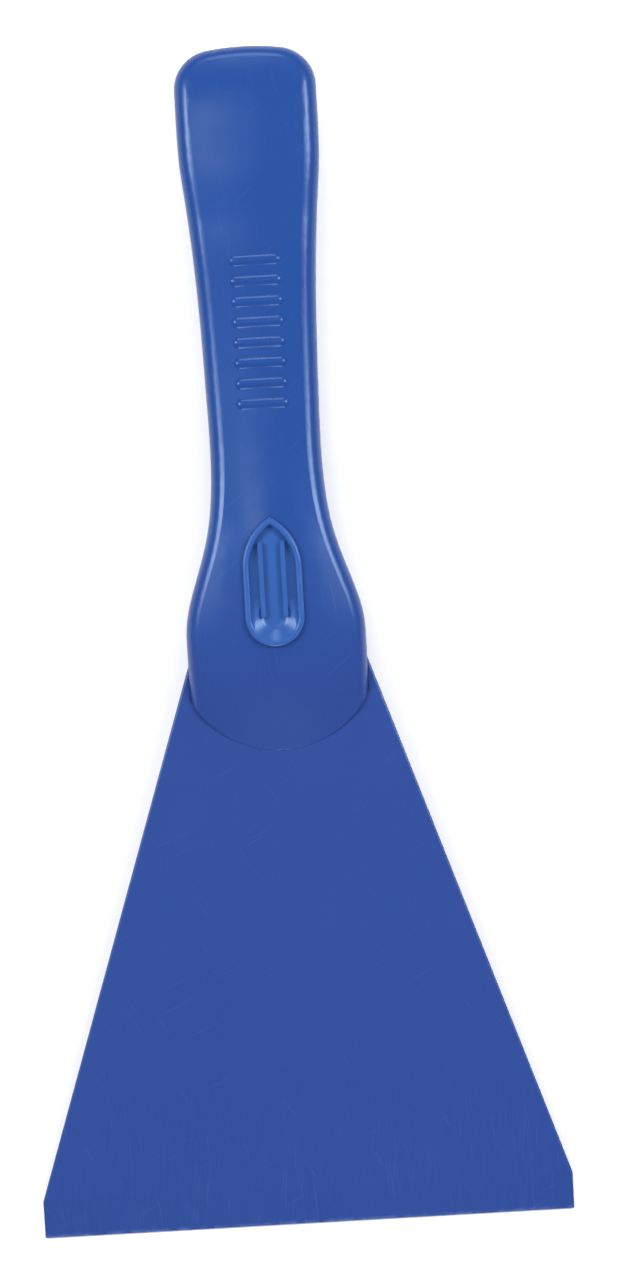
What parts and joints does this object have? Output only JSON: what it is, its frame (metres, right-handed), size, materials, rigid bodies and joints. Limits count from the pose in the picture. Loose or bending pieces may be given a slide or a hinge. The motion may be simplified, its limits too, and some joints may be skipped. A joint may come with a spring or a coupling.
{
  "type": "windshield ice scraper",
  "caption": "Flat hand scraper with a wide tapered plastic blade clamped in a slim two-shell handle with a thumb rest, for scraping ice off car glass.",
  "frame": {"origin": "under the middle of the tool, on the plane that the back of the grip touches", "axes": "+X across the blade, +Y from the scraping edge towards the handle's end, +Z out of the front face"},
  "size_m": [0.1142, 0.254, 0.0214],
  "materials": {
    "blade_plastic": "satin moulded blue polypropylene with fine scratches",
    "handle_plastic": "satin moulded blue polypropylene",
    "rest_plastic": "slightly glossier moulded blue polypropylene",
    "screw_steel": "zinc plated"
  },
  "bodies": {
    "root": {"blade": "blade_plastic", "handle_front_shell": "handle_plastic", "handle_back_shell": "handle_plastic", "thumb_rest": "rest_plastic", "handle_screws": "screw_steel"}
  },
  "joints": []
}
